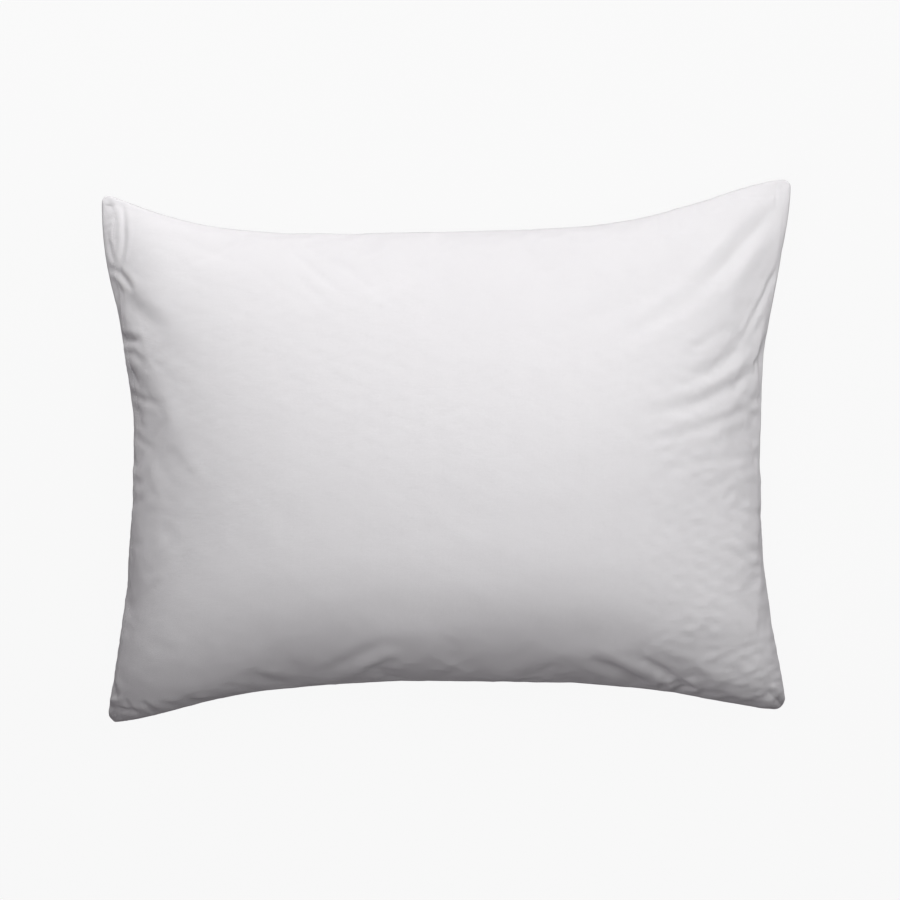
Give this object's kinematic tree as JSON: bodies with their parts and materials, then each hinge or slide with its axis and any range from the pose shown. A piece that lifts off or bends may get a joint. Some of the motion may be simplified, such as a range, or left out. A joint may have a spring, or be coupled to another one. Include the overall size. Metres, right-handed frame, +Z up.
{
  "type": "bed pillow",
  "caption": "White bed pillow: a soft filled insert inside a plain tuck-in cotton pillowcase with drawn-in sides, flat corner ears and a narrow hem at its mouth.",
  "frame": {"origin": "middle of the footprint on the surface that the pillow lies on: bottom centre of the bounding box", "axes": "+X along the pillow towards the pillowcase's closed end (its mouth is at -X), +Y across it to the head side, +Z up through its thickness, to the face that the picture shows"},
  "size_m": [0.66, 0.508, 0.165],
  "materials": {
    "case_cotton": "plain white cotton percale, soft sheen",
    "case_thread": "white spun thread",
    "ticking_cotton": "close-woven downproof cotton, natural white",
    "ticking_thread": "natural white spun thread",
    "label_tape": "blank woven satin tape",
    "filling": "lofty white fibre"
  },
  "bodies": {
    "pillowcase": {"case_front_panel": "case_cotton", "case_back_panel": "case_cotton", "case_front_hem": "case_cotton", "case_back_hem": "case_cotton", "case_flap": "case_cotton", "case_flap_hem": "case_cotton", "case_seam_head": "case_cotton", "case_seam_foot": "case_cotton", "case_seam_end": "case_cotton", "case_front_hem_stitch": "case_thread", "case_back_hem_stitch": "case_thread", "case_flap_hem_stitch": "case_thread", "case_bartack_head": "case_thread", "case_bartack_foot": "case_thread", "case_thread_head": "case_thread", "case_thread_foot": "case_thread", "case_thread_end": "case_thread", "case_overlock_head": "case_thread", "case_overlock_foot": "case_thread", "case_overlock_end": "case_thread", "case_label": "label_tape"},
    "insert": {"ticking_upper": "ticking_cotton", "ticking_lower": "ticking_cotton", "ticking_seam_head": "ticking_cotton", "ticking_seam_foot": "ticking_cotton", "ticking_seam_end": "ticking_cotton", "ticking_closing_fold": "ticking_cotton", "ticking_closing_stitch": "ticking_thread", "ticking_label": "label_tape", "fill": "filling"}
  },
  "joints": [
    {"name": "insert_slide", "type": "slide", "parent": "pillowcase", "child": "insert", "axis": [-1, 0, 0], "range_m": [0, 0.68], "deforming": ["case_front_panel", "case_back_panel", "case_front_hem", "case_back_hem", "case_flap", "case_flap_hem", "case_seam_head", "case_seam_foot", "case_seam_end", "case_front_hem_stitch", "case_back_hem_stitch", "case_flap_hem_stitch", "case_bartack_head", "case_bartack_foot", "case_thread_head", "case_thread_foot", "case_thread_end", "case_overlock_head", "case_overlock_foot", "case_overlock_end", "case_label"]}
  ]
}
